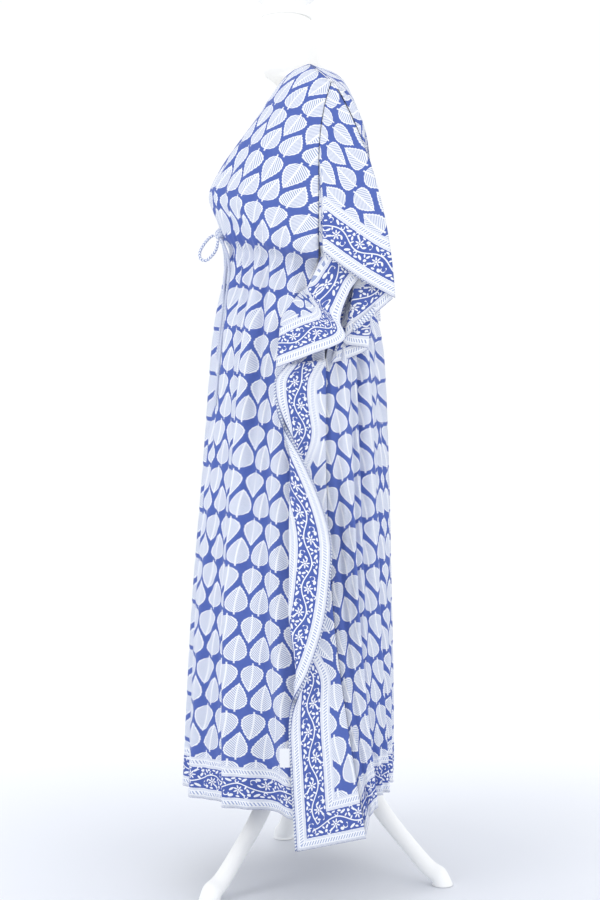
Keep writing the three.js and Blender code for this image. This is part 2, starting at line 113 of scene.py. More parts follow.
# Painted glow: the paint emits light that rises by degrees towards the rim, where the floor meets the white
# of the studio.
GLOW_STARTS_AT = 0.4
GLOW_PER_METRE = 0.2
floor_paint, tree, shader = new_material("matt_white_paint", "#E1E4EA", 0.9)
from_middle = tree.nodes.new("ShaderNodeVectorMath")
from_middle.operation = "LENGTH"
tree.links.new(tree.nodes.new("ShaderNodeTexCoord").outputs["Object"], from_middle.inputs[0])
glow = add_node(tree, "ShaderNodeMath", ("SUBTRACT", from_middle.outputs["Value"], GLOW_STARTS_AT),
                GLOW_PER_METRE, operation="MULTIPLY", use_clamp=True)
tree.links.new(glow, shader.inputs["Emission Strength"])
floor_mesh.materials.append(floor_paint)

world = bpy.data.worlds.new("studio")
scene.world = world
world.use_nodes = True
world.node_tree.nodes["Background"].inputs["Color"].default_value = linear("#FCFDFF")
world.node_tree.nodes["Background"].inputs["Strength"].default_value = 1.04
# Each light: its place, the point it looks at, its size in metres and its power in watts.
LIGHTS = {
    "key": ((2.2, -2.6, 2.6), (0, 0, 1.1), 1.6, 30),
    "fill": ((2.4, 2.4, 1.6), (0, 0, 0.8), 1.8, 16),
    "back": ((-2.4, 0.4, 2.6), (0, 0, 0.9), 2.0, 10),
}
for name, (place, target, size, power) in LIGHTS.items():
    light_data = bpy.data.lights.new(name, "AREA")
    light_data.size = size
    light_data.energy = power
    light = bpy.data.objects.new(name, light_data)
    light.location = place
    away = np.subtract(place, target)
    light.rotation_euler = (math.acos(away[2] / np.linalg.norm(away)), 0,
                            math.atan2(away[1], away[0]) + math.pi / 2)
    scene.collection.objects.link(light)


# The drawstring is a narrow tube of cotton, woven with a fine grey-blue herringbone. It leaves the
# casing at the left front and is tied in a bow: a knot, two loops and two free tails.
MM = 0.001
pole_low, pole_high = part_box("pole")
ORIGIN_SHIFT = (np.array(pole_low) + np.array(pole_high)) / 2 * (1, 1, 0)

# Woven cotton tape: matt, off-white, with chevrons whose lines are 5.2 mm apart, which is coarser
# than the cloth's own so that they show in the render.
hatched_cotton, tree, shader = new_material("hatched_woven_cotton", "#EDF1F7", 0.85, 0.05)
place = tree.nodes.new("ShaderNodeSeparateXYZ")
tree.links.new(add_node(tree, "ShaderNodeUVMap", uv_map="cloth"), place.inputs[0])
across_mm = add_node(tree, "ShaderNodeMath", place.outputs[0], 1000, operation="MULTIPLY")
along_mm = add_node(tree, "ShaderNodeMath", place.outputs[1], 1000, operation="MULTIPLY")
CHEVRON_WIDTH = 8
CHEVRON_SLOPE = 1.1
HATCH_STEP = 5.2
zigzag = add_node(tree, "ShaderNodeMath", across_mm, CHEVRON_WIDTH / 2, operation="PINGPONG")
slanted = ("ADD", along_mm, ("MULTIPLY", zigzag, CHEVRON_SLOPE))
hatch = ("SINE", ("MULTIPLY", slanted, 2 * math.pi / HATCH_STEP))
ink = add_node(tree, "ShaderNodeMath", ("MULTIPLY", ("ADD", hatch, 0.1), 1.6), 0,
               operation="MAXIMUM", use_clamp=True)
colour = tree.nodes.new("ShaderNodeMix")
colour.data_type = "RGBA"
tree.links.new(ink, colour.inputs["Factor"])
colour.inputs["A"].default_value = linear("#F0F3F8")
colour.inputs["B"].default_value = linear("#7385B7")
tree.links.new(colour.outputs["Result"], shader.inputs["Base Color"])


def make_piece(name, points, flat, material, nodes, wrapped=False, capped=False,
               mirrored=False, thickness=0.0):
    """A mesh on a grid of points, whose places on the flat cloth are the UV map. A wrapped grid
    closes round on itself, a capped one gets a flat face at each end, and a mirrored one gets
    its mirror image beside it, joined where their points fall together. Faces point to the side
    that the cross product of the column and row directions gives."""
    rows, columns = points.shape[:2]
    i, j = np.meshgrid(np.arange(rows - 1), np.arange(columns - (not wrapped)), indexing="ij")
    corner_i = np.stack([i, i, i + 1, i + 1], -1).reshape(-1, 4)
    corner_j = np.stack([j, j + 1, j + 1, j], -1).reshape(-1, 4)
    faces = corner_i * columns + corner_j % columns
    corner_flat = flat[corner_i, corner_j]
    places = points.reshape(-1, 3)
    if mirrored:
        other = faces[:, ::-1] + len(places)
        places = np.concatenate([places, places * (-1, 1, 1)])
        faces = np.concatenate([faces, other])
        corner_flat = np.concatenate([corner_flat, corner_flat[:, ::-1] * (-1, 1)])
        _, first, number = np.unique(np.round(places, 6) + 0.0, axis=0, return_index=True,
                                     return_inverse=True)
        places = places[first]
        faces = number.reshape(-1)[faces]
    face_list = faces.tolist()
    corner_list = corner_flat.reshape(-1, 2)
    if capped:
        face_list.append(list(range(columns))[::-1])
        face_list.append(list(range((rows - 1) * columns, rows * columns)))
        corner_list = np.concatenate([corner_list, flat[0, :columns][::-1], flat[-1, :columns]])
    mesh = bpy.data.meshes.new(f"finished_{name}")
    mesh.from_pydata((places + ORIGIN_SHIFT).tolist(), [], face_list)
    uv_map = mesh.uv_layers.new(name="cloth")
    uv_map.data.foreach_set("uv", np.ascontiguousarray(corner_list, dtype=np.float32).ravel())
    mesh.polygons.foreach_set("use_smooth", [True] * len(face_list))
    mesh.materials.append(material)
    piece = bpy.data.objects.new(mesh.name, mesh)
    scene.collection.objects.link(piece)
    if thickness:
        solid = piece.modifiers.new("thickness", "SOLIDIFY")
        solid.thickness = thickness
        solid.offset = 0
    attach(piece, "root")
    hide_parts(*nodes)
    return piece


def smooth_path(points, count):
    """Points on a smooth curve through the given ones: a cubic between each two, whose slope at a
    point is half the step between that point's neighbours."""
    points = np.asarray(points, dtype=float)
    last = len(points) - 1
    at = np.linspace(0, last, count)
    i = np.minimum(at.astype(int), last - 1)
    t = (at - i)[:, None]
    a = points[i]
    b = points[i + 1]
    slope_a = (b - points[np.maximum(i - 1, 0)]) / 2
    slope_b = (points[np.minimum(i + 2, last)] - a) / 2
    return ((2 * t**3 - 3 * t**2 + 1) * a + (t**3 - 2 * t**2 + t) * slope_a
            + (3 * t**2 - 2 * t**3) * b + (t**3 - t**2) * slope_b)


def tube(path, radii, reference, sides):
    """A tube's grid and its flat map: at each point of the path a circle square to the path, whose
    angle is counted from the cross product of the path's direction and a reference direction."""
    direction = np.gradient(path, axis=0)
    direction /= np.linalg.norm(direction, axis=1, keepdims=True)
    first = np.cross(direction, reference)
    first /= np.linalg.norm(first, axis=1, keepdims=True)
    second = np.cross(direction, first)
    angle = np.linspace(0, 2 * np.pi, sides + 1)
    ring = (np.cos(angle)[None, :, None] * first[:, None] + np.sin(angle)[None, :, None] * second[:, None])
    grid = path[:, None] + radii[:, None, None] * ring
    steps = np.linalg.norm(np.diff(path, axis=0), axis=1)
    length = np.concatenate([[0], np.cumsum(steps)])
    around, along = np.meshgrid(angle * radii.max(), length)
    return grid[:, :-1], np.stack([around, along], -1), length[-1]


CORD_RADIUS = 2.5 * MM
CORD_POINTS = 90
CORD_SIDES = 14
# A tail's end knot: how much wider than the cord it is, and its middle and half length, both counted
# in points of the route from its end.
END_KNOT_SWELL = 0.8
END_KNOT_MIDDLE = 5
END_KNOT_HALF = 2.5
# Each cord: its route in millimetres, the direction that its section is counted from, how its far
# end is held, and how it lies.
CORDS = {
    "drawstring_loop_front": ([
        (42, -169, 1110), (43, -177, 1105), (45, -186, 1094), (47, -193, 1080), (49, -192, 1069),
        (51, -183, 1065), (52, -173, 1072), (51, -165, 1084), (48, -162, 1099)],
        (1, 0, 0), "object", "loose"),
    "drawstring_loop_hanging": ([
        (30, -156, 1105), (22, -154, 1097), (14, -150, 1080), (9, -151, 1056), (10, -153, 1038),
        (18, -152, 1028), (27, -150, 1036), (31, -150, 1056), (33, -151, 1080), (35, -155, 1100)],
        (0, 1, 0), "object", "hanging"),
    "drawstring_tail_a": ([
        (40, -157, 1100.2), (41, -150, 1086), (42, -148, 1066), (46, -150, 1040), (51, -152, 1010),
        (55, -153, 980), (53, -157, 950), (51, -160, 922), (51, -162, 895)],
        (0, 1, 0), "knot", "hanging"),
    "drawstring_tail_b": ([
        (47, -157, 1102.6), (52, -150, 1087), (58, -144, 1068), (63, -142, 1040), (66, -146, 1005),
        (67, -150, 965), (69, -155, 925), (71, -159, 885), (70, -162, 850), (69, -165, 815)],
        (0, 1, 0), "knot", "hanging"),
}
for name, (route, reference, far_end, lay) in CORDS.items():
    path = smooth_path(route, CORD_POINTS) * MM
    radii = np.full(len(path), CORD_RADIUS)
    if far_end == "knot":
        # A tail ends in a small overhand knot: the tube swells to nearly twice its width.
        from_end = np.linspace(CORD_POINTS - 1, 0, CORD_POINTS)
        bulge = np.exp(-((from_end - END_KNOT_MIDDLE) / END_KNOT_HALF) ** 2)
        radii = CORD_RADIUS * (1 + END_KNOT_SWELL * bulge)
    grid, flat, length = tube(path, radii, reference, CORD_SIDES)
    cord = make_piece(name, grid, flat, hatched_cotton, [name],
                      wrapped=True, capped=True)

# The knot is the cord wound round itself: a ball whose radius rises over three slanting turns.
KNOT_CENTRE = np.array([40, -159.1, 1111.5]) * MM
KNOT_RADII = np.array([11, 8.8, 11]) * MM
KNOT_TURNS = 3
GROOVE_DEPTH = 0.16
POLE_GAP = 0.02
polar, turn = np.meshgrid(np.linspace(POLE_GAP, np.pi - POLE_GAP, 40), np.linspace(0, 2 * np.pi, 49)[:-1],
                          indexing="ij")
swell = 1 - GROOVE_DEPTH + GROOVE_DEPTH * np.abs(np.sin(KNOT_TURNS * polar + turn)) ** 0.7
ball = np.stack([np.sin(polar) * np.cos(turn), np.sin(polar) * np.sin(turn), -np.cos(polar)], -1)
flat = np.stack([turn + 0.5 * polar, polar], -1) * KNOT_RADII[0]
flat = np.concatenate([flat, flat[:, :1] + (2 * np.pi * KNOT_RADII[0], 0)], 1)
make_piece("drawstring_knot", KNOT_CENTRE + ball * swell[..., None] * KNOT_RADII, flat, hatched_cotton,
           ["drawstring_knot"], wrapped=True, capped=True)


# The dress form is a padded torso and neck with no limbs, under a smooth white jersey cover.
def read_table(table, at):
    """Every column of a table at each value of its first column: a cubic between two rows, whose
    slope at a row is that from the row before it to the row after it."""
    table = np.asarray(table, dtype=float)
    at = np.asarray(at, dtype=float)
    last = len(table) - 1
    i = np.clip(np.searchsorted(table[:, 0], at, side="right") - 1, 0, last - 1)
    before = table[np.maximum(i - 1, 0)]
    a = table[i]
    b = table[i + 1]
    after = table[np.minimum(i + 2, last)]
    span = (b - a)[:, :1]
    t = (at - a[:, 0])[:, None] / span
    slope_a = (b - before) / (b - before)[:, :1] * span
    slope_b = (after - a) / (after - a)[:, :1] * span
    return ((2 * t**3 - 3 * t**2 + 1) * a + (t**3 - 2 * t**2 + t) * slope_a
            + (3 * t**2 - 2 * t**3) * b + (t**3 - t**2) * slope_b)


# Columns: height, lean of the middle, half width, depth to the front and to the back, in millimetres.
FORM_RINGS = [
    (778, 0, 120, 62, 70), (792, 0, 148, 84, 88), (860, 0, 158, 100, 90), (940, 0, 140, 98, 68),
    (1010, 0, 118, 96, 50), (1080, 0, 125, 116, 48), (1140, 0, 134, 142, 58), (1185, 0, 138, 168.6, 64),
    (1230, 0, 140, 146, 66), (1280, 0, 148, 112, 64), (1320, 0, 152, 80, 60), (1350, 0, 138, 58, 53),
    (1372, -2, 98, 47, 44), (1386, -22, 62, 50, 48), (1402, -32, 56, 54, 50), (1450, -40, 52, 53, 50),
    (1484, -46, 53, 54, 50), (1492, -46, 46, 46, 42),
]
ring_heights = [row[0] for row in FORM_RINGS]
heights = np.unique(np.concatenate([np.linspace(ring_heights[0], ring_heights[-1], 120), ring_heights]))
rings = read_table(FORM_RINGS, heights)
# Below the neck, where the cloth covers it, the cover lies 3 mm inside the plain solid.
COVERED_BELOW = 1395
SET_IN = 3.0
under_cloth = np.where(heights < COVERED_BELOW, SET_IN, 0.0)[:, None]
angle = np.linspace(0, 2 * np.pi, 97)
depth = np.where(np.sin(angle) < 0, rings[:, 3:4], rings[:, 4:5]) - under_cloth
grid = np.stack([(rings[:, 2:3] - under_cloth) * np.cos(angle), rings[:, 1:2] + depth * np.sin(angle),
                 np.broadcast_to(heights[:, None], depth.shape)], -1) * MM
MEAN_FORM_RADIUS = 0.15
flat = np.stack(np.broadcast_arrays(angle * MEAN_FORM_RADIUS, heights[:, None] * MM), -1)
# Knitted cover: matt white, with a faint warm cast.
form_cover = new_material("white_jersey_cover", "#F4F4F2", 0.7, 0.1)[0]
make_piece("form_torso", grid[:, :-1], flat, form_cover, ["form_torso"],
           wrapped=True, capped=True)

# The cap, pole, hub and three curved legs are turned and carved wood under white satin paint. The
# pole and hub are plain turned solids, and stay as they are.
painted_wood = new_material("white_satin_painted_wood", "#F5F6F6", 0.42)[0]
# The cap's profile: radius and height, in millimetres. It stands on the neck, which leans back.
CAP_PROFILE = [(0.5, 1492.3), (42, 1492.3), (44, 1497), (36, 1504), (33, 1514), (40, 1523),
               (50, 1530), (53, 1542), (50, 1556), (38, 1570), (18, 1579), (0.5, 1581)]
CAP_LEAN = -46
profile = smooth_path(CAP_PROFILE, 100)
turn = np.linspace(0, 2 * np.pi, 73)
grid = np.stack([np.outer(profile[:, 0], np.cos(turn)), np.outer(profile[:, 0], np.sin(turn)) + CAP_LEAN,
                 np.broadcast_to(profile[:, 1:], (len(profile), len(turn)))], -1) * MM
MEAN_CAP_RADIUS = 0.04
flat = np.stack(np.broadcast_arrays(turn * MEAN_CAP_RADIUS, profile[:, 1:] * MM), -1)
make_piece("form_cap", grid[:, :-1], flat, painted_wood, ["form_cap"],
           wrapped=True, capped=True)
for node in ("pole", "hub"):
    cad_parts[node].data.materials.clear()
    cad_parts[node].data.materials.append(painted_wood)

# A leg's sections: distance out from the pole, height, width and depth, in millimetres.
LEG_ROWS = np.array([
    (36.4, 236, 34, 40), (60, 212, 32, 34), (92, 168, 30, 32), (132, 110, 28, 29),
    (174, 62, 28, 27), (206, 28, 32, 28), (225, 15, 38, 30), (232, 0, 38, 36),
])
LEG_ANGLES = (17, 137, 257)
LEG_SECTIONS = 71
turn = np.linspace(0, 2 * np.pi, 37)
number = np.arange(len(LEG_ROWS))
before = LEG_ROWS[np.maximum(number - 1, 0)]
after = LEG_ROWS[np.minimum(number + 1, number[-1])]
tilt = np.arctan2(after[:, 0] - before[:, 0], before[:, 1] - after[:, 1])
tilt[0] = np.pi / 2
tilt[-1] = 0
half_deep = LEG_ROWS[:, 3:4] / 2 * np.sin(turn)
sections = np.stack([LEG_ROWS[:, 2:3] / 2 * np.cos(turn),
                     LEG_ROWS[:, 0:1] + half_deep * np.cos(tilt)[:, None],
                     LEG_ROWS[:, 1:2] + half_deep * np.sin(tilt)[:, None]], -1)
leg = smooth_path(sections.reshape(len(LEG_ROWS), -1), LEG_SECTIONS).reshape(LEG_SECTIONS, -1, 3)
leg[..., 2] = np.maximum(leg[..., 2], 0)
for number, degrees in enumerate(LEG_ANGLES, 1):
    sine = math.sin(math.radians(degrees))
    cosine = math.cos(math.radians(degrees))
    turned = np.stack([-leg[..., 0] * cosine + leg[..., 1] * sine,
                       leg[..., 0] * sine + leg[..., 1] * cosine, leg[..., 2]], -1) * MM
    flat = leg[..., :2] * MM
    make_piece(f"leg_{number}", turned[:, :-1], flat, painted_wood,
               [f"leg_{number}"], wrapped=True, capped=True)


# Block-printed cotton: a plain matt weave with a cobalt ground between pale hatched leaves, and a
# border along each panel edge of two white strips with a row of dashes and a flowering vine.
printed_cotton, tree, shader = new_material("block_printed_cotton", "#8F9ED4", 0.85, 0.08)
flat_place = add_node(tree, "ShaderNodeUVMap", uv_map="cloth")
place = tree.nodes.new("ShaderNodeSeparateXYZ")
tree.links.new(flat_place, place.inputs[0])
across_mm = add_node(tree, "ShaderNodeMath", place.outputs[0], 1000, operation="MULTIPLY")
along_mm = add_node(tree, "ShaderNodeMath", place.outputs[1], 1000, operation="MULTIPLY")
# The blocks' edges are a little uneven, by about 0.6 mm, in spots some 4 mm apart. A noise node's
# numbers are its scale, detail and roughness.
uneven = add_node(tree, "ShaderNodeTexNoise", flat_place, None, 260, 2, 0.5)
WOBBLE_RANGE = 2.6
wobble = add_node(tree, "ShaderNodeMath", ("SUBTRACT", uneven, 0.5), WOBBLE_RANGE, operation="MULTIPLY")

LEAF_STEP = 41.3
ROW_STEP = 80
LEAF_LENGTH = 45
LEAF_HALF_WIDTH = 19.6
SCALLOP_STEP = 4.8
LEAF_LEAN = -8.5
VEIN_STEP = 3.6
VEIN_SLOPE = 0.9
STEM_HALF_WIDTH = 1.4
# One row of leaves hangs from its stems, and the next stands on them, turned half round: each is
# the place of the stem and the sense of both axes.
LEAF_BLOCKS = ((0, 0, 1), (0.27 * LEAF_STEP, ROW_STEP - 5.5, -1))
leaf_area = None
leaf_ink = None
for stem_across, stem_along, sense in LEAF_BLOCKS:
    local_x = add_node(tree, "ShaderNodeMath", ("MULTIPLY", ("SUBTRACT", across_mm, stem_across), sense),
                       LEAF_STEP / 2, -LEAF_STEP / 2, operation="WRAP")
    local_y = add_node(tree, "ShaderNodeMath", ("MULTIPLY", ("SUBTRACT", along_mm, stem_along), sense),
                       ROW_STEP - 5, -5, operation="WRAP")
    part_way = add_node(tree, "ShaderNodeMath", local_y, LEAF_LENGTH, operation="DIVIDE", use_clamp=True)
    swelling = ("MAXIMUM", ("SINE", ("MULTIPLY", ("POWER", part_way, 0.6), math.pi)), 0)
    half_width = ("MULTIPLY_ADD", ("POWER", swelling, 0.85), LEAF_HALF_WIDTH, -1.3)
    scallops = ("MULTIPLY", ("SINE", ("MULTIPLY", local_y, 2 * math.pi / SCALLOP_STEP)), 0.45)
    from_rib = add_node(tree, "ShaderNodeMath",
                        ("SUBTRACT", local_x, ("MULTIPLY", ("POWER", part_way, 1.6), LEAF_LEAN)),
                        operation="ABSOLUTE")
    inside = add_node(tree, "ShaderNodeMath", half_width, from_rib, operation="SUBTRACT")
    from_stem = ("MULTIPLY", ("ABSOLUTE", ("ADD", local_y, 1)), 0.55)
    stem = ("SUBTRACT", STEM_HALF_WIDTH, ("MAXIMUM", ("ABSOLUTE", local_x), from_stem))
    rim = ("ADD", ("ADD", inside, scallops), ("MULTIPLY", wobble, 0.9))
    body = add_node(tree, "ShaderNodeMath", rim, stem, operation="MAXIMUM")
    area = add_node(tree, "ShaderNodeMath", body, 1.3, 0.4, operation="MULTIPLY_ADD", use_clamp=True)
    along_vein = ("SUBTRACT", local_y, ("MULTIPLY", from_rib, VEIN_SLOPE))
    veins = ("SINE", ("MULTIPLY", along_vein, 2 * math.pi / VEIN_STEP))
    drawn = add_node(tree, "ShaderNodeMath", ("MULTIPLY", ("ADD", veins, 0.25), 1.2), 0,
                     operation="MAXIMUM", use_clamp=True)
    clear_of_rib = add_node(tree, "ShaderNodeMath", from_rib, 1, -0.8, operation="MULTIPLY_ADD",
                            use_clamp=True)
    clear_of_edge = add_node(tree, "ShaderNodeMath", inside, 1, -1.6, operation="MULTIPLY_ADD",
                             use_clamp=True)
    ink = add_node(tree, "ShaderNodeMath", ("MULTIPLY", drawn, clear_of_rib), clear_of_edge,
                   operation="MULTIPLY")
    leaf_area = area if leaf_area is None else add_node(tree, "ShaderNodeMath", leaf_area, area,
                                                        operation="MAXIMUM")
    leaf_ink = ink if leaf_ink is None else add_node(tree, "ShaderNodeMath", leaf_ink, ink,
                                                     operation="MAXIMUM")

# The border's own coordinates are the distance in from the nearest panel edge and the distance
# along that edge. The sides are 530 mm from the centre line and the hem is 1280 mm down.
PANEL_HALF_WIDTH = 530
PANEL_LENGTH = 1280
BORDER_WIDTH = 70
from_side = add_node(tree, "ShaderNodeMath", PANEL_HALF_WIDTH, ("ABSOLUTE", across_mm),
                     operation="SUBTRACT")
from_hem = add_node(tree, "ShaderNodeMath", PANEL_LENGTH, along_mm, operation="SUBTRACT")
from_edge = add_node(tree, "ShaderNodeMath", from_side, from_hem, operation="MINIMUM")
by_side = add_node(tree, "ShaderNodeMath", from_side, from_hem, operation="LESS_THAN")
along_edge = add_node(tree, "ShaderNodeMath", ("MULTIPLY", by_side, along_mm),
                      ("MULTIPLY", ("SUBTRACT", 1, by_side), across_mm), operation="ADD")
in_border = add_node(tree, "ShaderNodeMath", from_edge, BORDER_WIDTH, operation="LESS_THAN")

# Two white strips, 9 and 62 mm in from the edge, each with fine lines and a row of slanting dashes.
OUTER_STRIP = 9
INNER_STRIP = 62
STRIP_HALF = 8.5
DASH_STEP = 4.6
DASH_SLOPE = 0.55
DASH_HALF_LENGTH = 2.9
from_strip = add_node(tree, "ShaderNodeMath", ("ABSOLUTE", ("SUBTRACT", from_edge, OUTER_STRIP)),
                      ("ABSOLUTE", ("SUBTRACT", from_edge, INNER_STRIP)), operation="MINIMUM")
strip = add_node(tree, "ShaderNodeMath", ("ADD", from_strip, ("MULTIPLY", wobble, 0.4)), STRIP_HALF,
                 operation="LESS_THAN")
outer_line = ("COMPARE", from_strip, 7.0, 0.45)
inner_line = ("COMPARE", from_strip, 5.2, 0.35)
slanted = ("ADD", along_edge, ("MULTIPLY", from_edge, DASH_SLOPE))
slant = ("SINE", ("MULTIPLY", slanted, 2 * math.pi / DASH_STEP))
dashes = ("MULTIPLY", ("GREATER_THAN", slant, 0.35), ("LESS_THAN", from_strip, DASH_HALF_LENGTH))
strip_ink = add_node(tree, "ShaderNodeMath", ("MULTIPLY", ("ADD", outer_line, inner_line), 0.55),
                     ("MULTIPLY", dashes, 0.85), operation="ADD", use_clamp=True)

# The vine: a wavy stem that swings from side to side every 40 mm, with a flower in each bend, and
# leaves, buds and curls round it. Every second bend is the mirror image of the first.
VINE_STEP = 40
VINE_MIDDLE = 36
STEM_SWING = 6.5
VINE_STEM_HALF = 1.0
bend = add_node(tree, "ShaderNodeMath", along_edge, VINE_STEP, operation="DIVIDE")
bend_side = ("SUBTRACT", 1, ("MULTIPLY", ("FLOORED_MODULO", ("FLOOR", bend), 2), 2))
vine_x = add_node(tree, "ShaderNodeMath", ("FRACT", bend), VINE_STEP, operation="MULTIPLY")
vine_y = add_node(tree, "ShaderNodeMath", ("SUBTRACT", from_edge, VINE_MIDDLE), bend_side,
                  operation="MULTIPLY")
vine_place = add_node(tree, "ShaderNodeCombineXYZ", vine_x, vine_y)
stem_line = ("ADD", vine_y, ("MULTIPLY", ("SINE", ("MULTIPLY", vine_x, math.pi / VINE_STEP)), STEM_SWING))
vine = add_node(tree, "ShaderNodeMath", ("ABSOLUTE", stem_line), VINE_STEM_HALF, operation="LESS_THAN")
# Ovals: place in the bend, half length, half width and turn in degrees.
VINE_OVALS = [
    (7.5, -12.2, 4.6, 1.9, 28), (14, -14.6, 3.2, 1.5, -12), (31.5, -12.8, 4.8, 1.9, -32),
    (24, -14.4, 3.0, 1.4, 14), (36.5, 5.2, 3.4, 1.7, 64), (38.2, 12.0, 2.9, 2.2, 20),
    (11.0, 3.2, 3.6, 1.6, -42), (2.6, -6.2, 2.8, 1.3, 50), (19.5, 15.3, 3.0, 1.5, 8),
    (28.8, 11.8, 3.6, 1.6, 38), (9.8, 13.6, 3.4, 2.4, -20), (33.0, 0.2, 3.0, 1.3, -58),
]
for oval_x, oval_y, half_long, half_wide, degrees in VINE_OVALS:
    mapped = add_node(tree, "ShaderNodeMapping", vine_place, (oval_x, oval_y, 0),
                      (0, 0, math.radians(degrees)), (half_long, half_wide, 1), vector_type="TEXTURE")
    span = tree.nodes.new("ShaderNodeVectorMath")
    span.operation = "LENGTH"
    tree.links.new(mapped, span.inputs[0])
    vine = add_node(tree, "ShaderNodeMath", vine, ("LESS_THAN", span.outputs["Value"], 1),
                    operation="MAXIMUM")
# Curls: the place of the ring's middle and its radius. Each is open on the side of the stem.
VINE_CURLS = [(3.6, 9.4, 4.0), (19.0, -10.2, 2.6), (33.4, 15.2, 2.6)]
for curl_x, curl_y, radius in VINE_CURLS:
    offset_x = add_node(tree, "ShaderNodeMath", vine_x, curl_x, operation="SUBTRACT")
    offset_y = add_node(tree, "ShaderNodeMath", vine_y, curl_y, operation="SUBTRACT")
    span = ("SQRT", ("ADD", ("MULTIPLY", offset_x, offset_x), ("MULTIPLY", offset_y, offset_y)))
    ring = ("COMPARE", span, radius, 0.75)
    opened = ("LESS_THAN", ("SUBTRACT", ("MULTIPLY", offset_x, 0.7), offset_y), radius * 0.75)
    vine = add_node(tree, "ShaderNodeMath", vine, ("MULTIPLY", ring, opened), operation="MAXIMUM")
# The flower has seven pointed petals round a middle 4 mm across: its radius rises and falls by
# 2.9 mm about 5.2 mm.
FLOWER = (21.0, 4.6)
PETALS = 7
PETAL_MEAN = 5.2
PETAL_RISE = 2.9
offset_x = add_node(tree, "ShaderNodeMath", vine_x, FLOWER[0], operation="SUBTRACT")
offset_y = add_node(tree, "ShaderNodeMath", vine_y, FLOWER[1], operation="SUBTRACT")
span = add_node(tree, "ShaderNodeMath",
                ("ADD", ("MULTIPLY", offset_x, offset_x), ("MULTIPLY", offset_y, offset_y)), operation="SQRT")
around = ("MULTIPLY", ("ARCTAN2", offset_y, offset_x), PETALS)
petals = ("ADD", PETAL_MEAN, ("MULTIPLY", ("COSINE", around), PETAL_RISE))
flower = ("MULTIPLY", ("LESS_THAN", span, petals), ("SUBTRACT", 1, ("COMPARE", span, 2.1, 0.4)))
vine = add_node(tree, "ShaderNodeMath", vine, flower, operation="MAXIMUM")

# The colours: ground, then leaves, their veins, and in the border the vine, the strips and lines.
COBALT = "#475DA8"
PALE = "#EDEFF3"
GREY_BLUE = "#8C9CC4"
mottle = add_node(tree, "ShaderNodeTexNoise", flat_place, None, 70, 3, 0.55)
# Each layer of print: the ink's share at a place and its colour, laid on the one before it.
PRINT_LAYERS = [
    (("MULTIPLY", mottle, 0.35), "#5F77C2"),
    (leaf_area, PALE),
    (("MULTIPLY", leaf_ink, 0.95), GREY_BLUE),
    (in_border, COBALT),
    (("MULTIPLY", in_border, vine), PALE),
    (("MULTIPLY", in_border, strip), PALE),
    (("MULTIPLY", ("MULTIPLY", in_border, strip), strip_ink), "#8497C6"),
]
colour_so_far = linear(COBALT)
for share, hex_colour in PRINT_LAYERS:
    layer = tree.nodes.new("ShaderNodeMix")
    layer.data_type = "RGBA"
    tree.links.new(add_node(tree, "ShaderNodeMath", share, 0, operation="ADD", use_clamp=True),
                   layer.inputs["Factor"])
    if isinstance(colour_so_far, bpy.types.NodeSocket):
        tree.links.new(colour_so_far, layer.inputs["A"])
    else:
        layer.inputs["A"].default_value = colour_so_far
    layer.inputs["B"].default_value = linear(hex_colour)
    colour_so_far = layer.outputs["Result"]
tree.links.new(colour_so_far, shader.inputs["Base Color"])
# Crumpling: soft dents some 26 mm apart with finer ones on them, a few millimetres deep.
crumple = add_node(tree, "ShaderNodeTexNoise", flat_place, None, 38, 4, 0.6)
dent = tree.nodes.new("ShaderNodeBump")
dent.inputs["Strength"].default_value = 0.8
dent.inputs["Distance"].default_value = 0.006
tree.links.new(crumple, dent.inputs["Height"])
tree.links.new(dent.outputs["Normal"], shader.inputs["Normal"])


# The front panel, from the V neck to the hem. It is gathered on the drawstring's casing under the
# bust and hangs from there in long soft folds.
# Columns: v, the centre's x y z, the side's x y z, how late the height changes, gathers, folds.
FRONT_ROWS = [
    (0.00, 78, -8, 1392, 160, 30, 1345, 1.3, 0, 0),
    (0.025, 68.8, -38, 1380.8, 165.5, 23.5, 1322, 1.3, 0, 0),
    (0.05, 64, -62, 1354, 170, 18, 1300, 1.3, 0, 0),
    (0.10, 50, -92, 1312, 178, 11, 1252, 1.3, 0, 1), (0.15, 31, -123, 1274, 183, 9, 1205, 1.3, 1, 2),
    (0.20, 0, -160, 1226, 186, 9, 1152, 1.3, 2, 2), (0.25, 0, -176, 1182, 187, 9, 1108, 1.3, 3, 2),
    (0.29, 0, -160, 1142, 186, 9, 1074, 1.3, 4, 1), (0.315, 0, -149, 1114, 180, 9, 1056, 1.2, 4, 0),
    (0.33, 0, -138, 1092, 150, 9, 1049, 1.2, 3, 0), (0.35, 0, -139, 1070, 151, 11, 1030, 1.3, 5, 0),
    (0.40, 0, -147, 1022, 159, 15, 985, 1.5, 6, 2), (0.50, 0, -156, 930, 170, 20, 888, 2, 5, 5),
    (0.72, 0, -172, 712, 186, 21, 678, 3, 2.5, 9), (0.94, 0, -188, 492, 196, 33, 464, 4, 1.5, 11),
    (1.12, 0, -197, 312, 199, 56, 286, 5, 1, 12), (1.28, 0, -204, 154, 190, 84, 114, 6, 1, 13),
]
